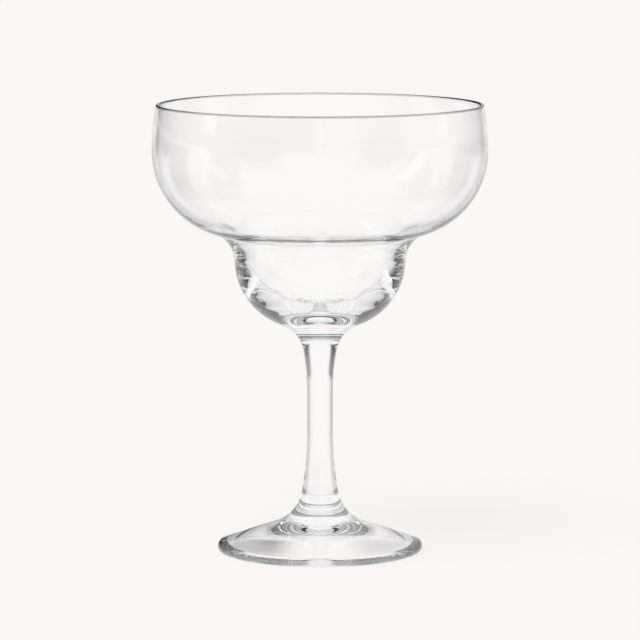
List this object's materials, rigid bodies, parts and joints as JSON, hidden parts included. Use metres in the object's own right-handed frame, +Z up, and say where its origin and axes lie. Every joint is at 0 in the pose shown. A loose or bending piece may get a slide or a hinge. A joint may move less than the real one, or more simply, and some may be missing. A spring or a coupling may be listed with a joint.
{
  "type": "margarita glass",
  "caption": "Clear stemmed cocktail glass: a wide bowl that steps in to a small round well, a slim flared stem and a broad round foot with a hollow underneath.",
  "frame": {"origin": "centre of the foot, on the plane that the glass stands on", "axes": "+Z up along the glass's axis, from the foot to the rim"},
  "size_m": [0.112, 0.112, 0.1502],
  "materials": {
    "clear_glass": "clear, fire-polished"
  },
  "bodies": {
    "root": {"bowl": "clear_glass", "stem": "clear_glass", "foot": "clear_glass"}
  },
  "joints": []
}
